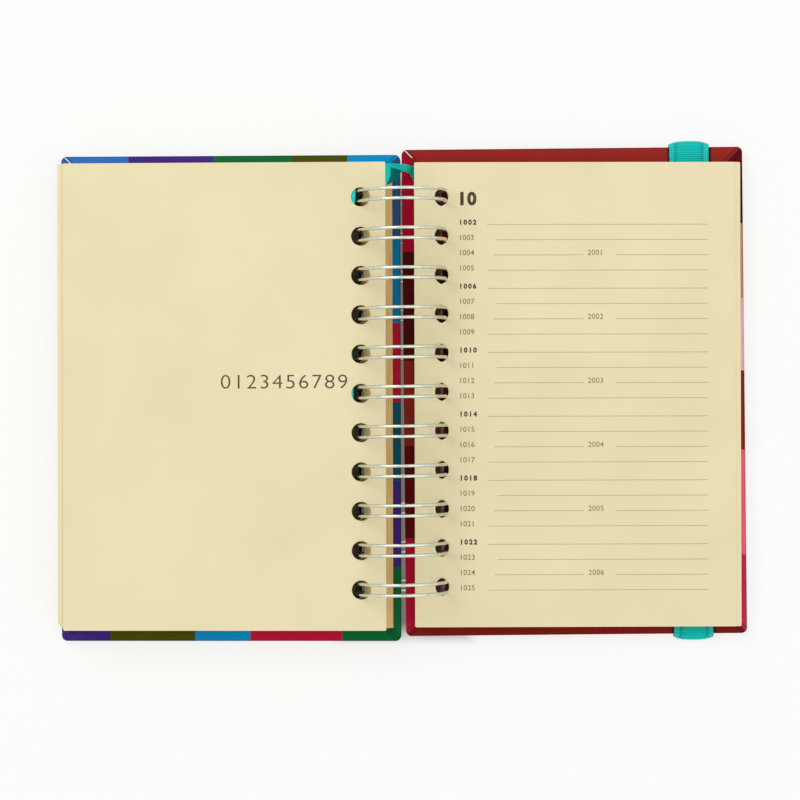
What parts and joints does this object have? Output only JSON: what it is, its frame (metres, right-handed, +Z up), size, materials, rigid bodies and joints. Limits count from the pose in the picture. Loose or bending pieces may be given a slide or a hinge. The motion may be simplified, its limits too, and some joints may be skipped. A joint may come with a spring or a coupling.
{
  "type": "wire-bound diary",
  "caption": "Hard-cover pocket diary lying open on a twin-loop wire binding, with an elastic closing band and a ribbon marker.",
  "frame": {"origin": "middle of the open diary, on the table it lies on", "axes": "+X across the spread from the front cover to the back cover, +Y to the top of the pages, +Z up"},
  "size_m": [0.225, 0.164, 0.0296],
  "materials": {
    "greyboard": "matt",
    "red_print": "satin laminated",
    "blue_print": "satin laminated",
    "endpaper": "matt",
    "paper": "matt, uncoated",
    "elastic": "woven, ribbed",
    "ribbon": "satin",
    "wire": "bright coated"
  },
  "bodies": {
    "back_cover": {"back_cover_board": "greyboard", "back_cover_wrap": "red_print", "back_cover_endpaper": "endpaper", "closing_band": "elastic", "twin_loop_wire": "wire", "ribbon_tab": "ribbon", "ribbon_bridge": "ribbon"},
    "front_cover": {"front_cover_board": "greyboard", "front_cover_wrap": "blue_print", "front_cover_endpaper": "endpaper"},
    "planner": {"planner_section": "paper"},
    "month_01": {"month_01_section": "paper"},
    "month_02": {"month_02_section": "paper"},
    "month_03": {"month_03_section": "paper"},
    "month_04": {"month_04_section": "paper"},
    "month_05": {"month_05_section": "paper"},
    "month_06": {"month_06_section": "paper"},
    "month_07": {"month_07_section": "paper"},
    "month_08": {"month_08_section": "paper"},
    "month_09": {"month_09_section": "paper"},
    "month_10": {"month_10_section": "paper"},
    "month_11": {"month_11_section": "paper"},
    "month_12": {"month_12_section": "paper", "ribbon_tail": "ribbon"},
    "title": {"title_leaf": "paper"},
    "address_back": {"address_section_back": "paper"},
    "address_middle": {"address_section_middle": "paper"},
    "address_front": {"address_section_front": "paper"},
    "address_top": {"address_top_leaf": "paper"}
  },
  "joints": [
    {"name": "front_cover_turn", "type": "hinge", "parent": "back_cover", "child": "front_cover", "pos_m": [-0.00031, 0, 0.01493], "axis": [0, 1, 0], "range_deg": [0, 182.68], "deforming": ["ribbon_bridge"]},
    {"name": "planner_turn", "type": "hinge", "parent": "front_cover", "child": "planner", "pos_m": [-0.00031, 0, 0.01493], "axis": [0, 1, 0], "range_deg": [0, 180]},
    {"name": "month_01_turn", "type": "hinge", "parent": "planner", "child": "month_01", "pos_m": [-0.00031, 0, 0.01493], "axis": [0, 1, 0], "range_deg": [0, 180]},
    {"name": "month_02_turn", "type": "hinge", "parent": "month_01", "child": "month_02", "pos_m": [-0.00031, 0, 0.01493], "axis": [0, 1, 0], "range_deg": [0, 180]},
    {"name": "month_03_turn", "type": "hinge", "parent": "month_02", "child": "month_03", "pos_m": [-0.00031, 0, 0.01493], "axis": [0, 1, 0], "range_deg": [0, 180]},
    {"name": "month_04_turn", "type": "hinge", "parent": "month_03", "child": "month_04", "pos_m": [-0.00031, 0, 0.01493], "axis": [0, 1, 0], "range_deg": [0, 180]},
    {"name": "month_05_turn", "type": "hinge", "parent": "month_04", "child": "month_05", "pos_m": [-0.00031, 0, 0.01493], "axis": [0, 1, 0], "range_deg": [0, 180]},
    {"name": "month_06_turn", "type": "hinge", "parent": "month_05", "child": "month_06", "pos_m": [-0.00031, 0, 0.01493], "axis": [0, 1, 0], "range_deg": [0, 180]},
    {"name": "month_07_turn", "type": "hinge", "parent": "month_06", "child": "month_07", "pos_m": [-0.00031, 0, 0.01493], "axis": [0, 1, 0], "range_deg": [0, 180]},
    {"name": "month_08_turn", "type": "hinge", "parent": "month_07", "child": "month_08", "pos_m": [-0.00031, 0, 0.01493], "axis": [0, 1, 0], "range_deg": [0, 180]},
    {"name": "month_09_turn", "type": "hinge", "parent": "month_08", "child": "month_09", "pos_m": [-0.00031, 0, 0.01493], "axis": [0, 1, 0], "range_deg": [0, 180]},
    {"name": "month_10_turn", "type": "hinge", "parent": "month_09", "child": "month_10", "pos_m": [-0.00031, 0, 0.01493], "axis": [0, 1, 0], "range_deg": [0, 180]},
    {"name": "month_11_turn", "type": "hinge", "parent": "month_10", "child": "month_11", "pos_m": [-0.00031, 0, 0.01493], "axis": [0, 1, 0], "range_deg": [0, 180]},
    {"name": "month_12_turn", "type": "hinge", "parent": "month_11", "child": "month_12", "pos_m": [-0.00031, 0, 0.01493], "axis": [0, 1, 0], "range_deg": [0, 180]},
    {"name": "title_turn", "type": "hinge", "parent": "month_12", "child": "title", "pos_m": [-0.00031, 0, 0.01493], "axis": [0, 1, 0], "range_deg": [0, 180]},
    {"name": "address_back_turn", "type": "hinge", "parent": "back_cover", "child": "address_back", "pos_m": [-0.00031, 0, 0.01493], "axis": [0, 1, 0], "range_deg": [-182.68, 0]},
    {"name": "address_middle_turn", "type": "hinge", "parent": "address_back", "child": "address_middle", "pos_m": [-0.00031, 0, 0.01493], "axis": [0, 1, 0], "range_deg": [-180, 0]},
    {"name": "address_front_turn", "type": "hinge", "parent": "address_middle", "child": "address_front", "pos_m": [-0.00031, 0, 0.01493], "axis": [0, 1, 0], "range_deg": [-180, 0]},
    {"name": "address_top_turn", "type": "hinge", "parent": "address_front", "child": "address_top", "pos_m": [-0.00031, 0, 0.01493], "axis": [0, 1, 0], "range_deg": [-180, 0]}
  ]
}
